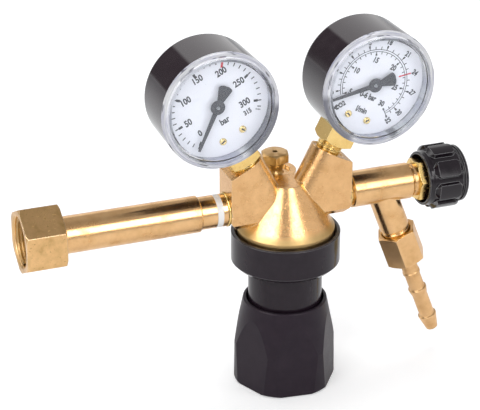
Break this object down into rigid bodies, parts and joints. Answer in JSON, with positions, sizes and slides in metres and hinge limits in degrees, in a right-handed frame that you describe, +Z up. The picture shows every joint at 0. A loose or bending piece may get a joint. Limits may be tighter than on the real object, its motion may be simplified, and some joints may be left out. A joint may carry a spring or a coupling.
{
  "type": "compressed gas cylinder regulator",
  "caption": "Two-gauge cylinder regulator with a long inlet tube and union nut, black adjusting knob, outlet needle valve and angled hose tail",
  "frame": {"origin": "centre of the inlet nipple's sealing face", "axes": "+X from the inlet along the tube to the outlet valve, +Y to the back, +Z up from the adjusting knob to the gauges; the gauge faces look along -Y"},
  "size_m": [0.2483, 0.0592, 0.2037],
  "materials": {
    "forged_brass": "satin forged brass, blasted and lightly tumbled",
    "turned_brass": "turned brass, fine lathe grain",
    "gold_brass": "bright yellow brass",
    "black_enamel": "gloss black enamel",
    "black_steel": "gloss black painted steel",
    "knob_plastic": "matt black moulded plastic",
    "handwheel_plastic": "gloss black moulded plastic",
    "white_plastic": "white plastic",
    "dial_face": "white printed aluminium",
    "pointer_black": "dark painted aluminium",
    "clear_lens": "clear plastic",
    "steel": "bright steel",
    "elastomer": "fabric reinforced rubber",
    "sintered_bronze": "porous sintered bronze"
  },
  "bodies": {
    "regulator": {"body": "forged_brass", "inlet_adapter": "turned_brass", "inlet_stem": "turned_brass", "inlet_pale_ring": "white_plastic", "inlet_flange_ring": "gold_brass", "inlet_seal": "white_plastic", "inlet_filter": "sintered_bronze", "union_ring": "black_enamel", "bonnet": "black_enamel", "slip_ring": "steel", "diaphragm": "elastomer", "main_spring": "steel", "valve_cartridge": "turned_brass", "poppet_spring": "steel", "relief_body": "turned_brass", "relief_spring": "steel", "outlet_flange_ring": "gold_brass", "outlet_valve_body": "turned_brass", "outlet_bonnet_nut": "gold_brass", "spindle_packing": "white_plastic", "hose_tail": "turned_brass", "high_gauge_stem": "gold_brass", "high_gauge_case": "black_steel", "high_gauge_lens": "clear_lens", "high_gauge_dial": "dial_face", "high_dial_screws": "gold_brass", "high_bourdon_tube": "turned_brass", "high_movement": "turned_brass", "flow_gauge_stem": "gold_brass", "flow_gauge_case": "black_steel", "flow_gauge_lens": "clear_lens", "flow_gauge_dial": "dial_face", "flow_dial_screws": "gold_brass", "flow_bourdon_tube": "turned_brass", "flow_movement": "turned_brass"},
    "inlet_nut": {"inlet_nut": "turned_brass"},
    "hose_nut": {"hose_nut": "turned_brass"},
    "spring_carrier": {"spring_plate": "steel"},
    "knob": {"adjusting_knob": "knob_plastic", "adjusting_screw": "steel"},
    "main_valve": {"diaphragm_plate": "turned_brass", "valve_poppet": "turned_brass"},
    "relief_poppet": {"relief_poppet": "steel"},
    "outlet_disc": {"outlet_valve_disc": "turned_brass"},
    "outlet_handwheel": {"outlet_spindle": "steel", "outlet_knob": "handwheel_plastic", "outlet_knob_cap": "handwheel_plastic"},
    "high_pointer": {"high_pinion": "steel", "high_pointer": "pointer_black"},
    "high_sector": {"high_sector": "gold_brass"},
    "flow_pointer": {"flow_pinion": "steel", "flow_pointer": "pointer_black"},
    "flow_sector": {"flow_sector": "gold_brass"}
  },
  "joints": [
    {"name": "inlet_nut_turn", "type": "hinge", "parent": "regulator", "child": "inlet_nut", "pos_m": [0.005, 0, 0], "axis": [1, 0, 0], "continuous": true},
    {"name": "hose_nut_turn", "type": "hinge", "parent": "regulator", "child": "hose_nut", "pos_m": [0.1955, 0, 0], "axis": [0.3584, 0, -0.9336], "continuous": true},
    {"name": "screw_lift", "type": "slide", "parent": "regulator", "child": "spring_carrier", "axis": [0, 0, 1], "range_m": [0, 0.01], "deforming": ["main_spring"]},
    {"name": "knob_turn", "type": "hinge", "parent": "spring_carrier", "child": "knob", "pos_m": [0.141, 0, -0.09], "axis": [0, 0, 1], "range_deg": [0, 1800]},
    {"name": "valve_lift", "type": "slide", "parent": "regulator", "child": "main_valve", "axis": [0, 0, 1], "range_m": [0, 0.001], "stiffness_N_per_m": 500, "springref_m": -0.004, "deforming": ["diaphragm", "poppet_spring"]},
    {"name": "relief_lift", "type": "slide", "parent": "regulator", "child": "relief_poppet", "axis": [0, 0, 1], "range_m": [0, 0.0015], "stiffness_N_per_m": 200, "springref_m": -0.005, "deforming": ["relief_spring"]},
    {"name": "outlet_stem_slide", "type": "slide", "parent": "regulator", "child": "outlet_disc", "axis": [1, 0, 0], "range_m": [0, 0.00375]},
    {"name": "outlet_knob_turn", "type": "hinge", "parent": "outlet_disc", "child": "outlet_handwheel", "pos_m": [0.2315, 0, 0], "axis": [1, 0, 0], "range_deg": [0, 900]},
    {"name": "high_pointer_turn", "type": "hinge", "parent": "regulator", "child": "high_pointer", "pos_m": [0.09732, 0, 0.0652], "axis": [0, 1, 0], "range_deg": [0, 264], "stiffness_Nm_per_rad": 0.0001, "springref_deg": -34.38},
    {"name": "high_sector_turn", "type": "hinge", "parent": "regulator", "child": "high_sector", "pos_m": [0.10277, 0, 0.05451], "axis": [0, 1, 0], "range_deg": [-41, 0]},
    {"name": "flow_pointer_turn", "type": "hinge", "parent": "regulator", "child": "flow_pointer", "pos_m": [0.18468, 0, 0.0652], "axis": [0, 1, 0], "range_deg": [0, 264], "stiffness_Nm_per_rad": 0.0001, "springref_deg": -34.38},
    {"name": "flow_sector_turn", "type": "hinge", "parent": "regulator", "child": "flow_sector", "pos_m": [0.17923, 0, 0.05451], "axis": [0, 1, 0], "range_deg": [-41, 0]}
  ],
  "couplings": [
    {"joint": "screw_lift", "follows": "knob_turn", "m_per_rad": 0.0003183},
    {"joint": "outlet_stem_slide", "follows": "outlet_knob_turn", "m_per_rad": 0.0002387},
    {"joint": "high_sector_turn", "follows": "high_pointer_turn", "ratio": -0.15385},
    {"joint": "flow_sector_turn", "follows": "flow_pointer_turn", "ratio": -0.15385}
  ]
}
